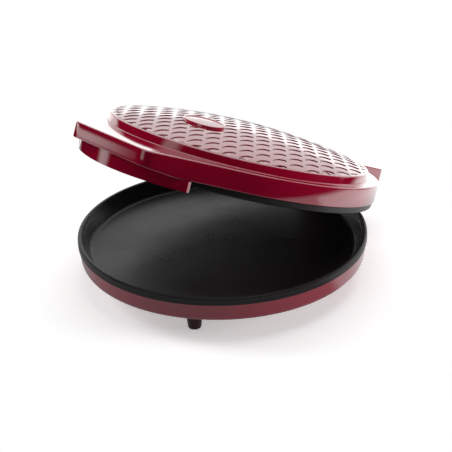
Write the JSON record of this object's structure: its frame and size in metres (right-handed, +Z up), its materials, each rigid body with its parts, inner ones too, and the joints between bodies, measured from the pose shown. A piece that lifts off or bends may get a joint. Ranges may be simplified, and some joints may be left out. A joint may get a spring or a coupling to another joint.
{
  "type": "electric pizza maker",
  "caption": "Round countertop pizza maker: red base with a dark pan under a domed hinged lid with a staggered dimple lattice, a front handle lobe and a rear hinge.",
  "frame": {"origin": "on the table, under the middle of the open machine's box, 22.2 mm behind the centre of the round pan", "axes": "+Z up, -Y towards the handle, +Y towards the hinge, +X to the right when looking from the handle to the hinge"},
  "size_m": [0.32, 0.3644, 0.2033],
  "materials": {
    "red_gloss": "high gloss",
    "red_light": "gloss",
    "nonstick": "black non-stick coating",
    "foot": "gloss",
    "sheath": "heat-tinted",
    "bright_steel": "satin",
    "reflector": "bright sheet",
    "bakelite": "moulded",
    "black_plastic": "moulded",
    "hinge_metal": "cast, satin",
    "bush": "moulded"
  },
  "bodies": {
    "base": {"base_shell": "red_gloss", "cord_gland": "black_plastic", "foot_front_left": "foot", "foot_front_right": "foot", "foot_rear_left": "foot", "foot_rear_right": "foot", "foot_screws": "bright_steel", "hinge_pin": "bright_steel", "hinge_pin_caps": "black_plastic", "lower_clamp_screws": "bright_steel", "lower_element_clamps": "bright_steel", "lower_heating_element": "sheath", "lower_plate": "nonstick", "lower_plate_screws": "bright_steel", "lower_reflector": "reflector", "terminal_block": "bakelite", "thermal_fuse": "bright_steel", "thermostat": "bakelite"},
    "lid": {"lid_shell": "red_gloss", "badge_plate": "red_light", "handle_grip": "red_gloss", "grip_screws": "bright_steel", "upper_plate": "nonstick", "upper_plate_screws": "bright_steel", "upper_heating_element": "sheath", "upper_element_clamps": "bright_steel", "upper_clamp_screws": "bright_steel", "upper_reflector": "reflector", "upper_thermal_fuse": "bright_steel", "hinge_arm_left": "hinge_metal", "hinge_arm_right": "hinge_metal", "hinge_arm_screws": "bright_steel", "hinge_bush_left": "bush", "hinge_bush_right": "bush"}
  },
  "joints": [
    {"name": "lid_hinge", "type": "hinge", "parent": "base", "child": "lid", "pos_m": [0, 0.1597, 0.0368], "axis": [-1, 0, 0], "range_deg": [-20.26, 69.74]}
  ]
}
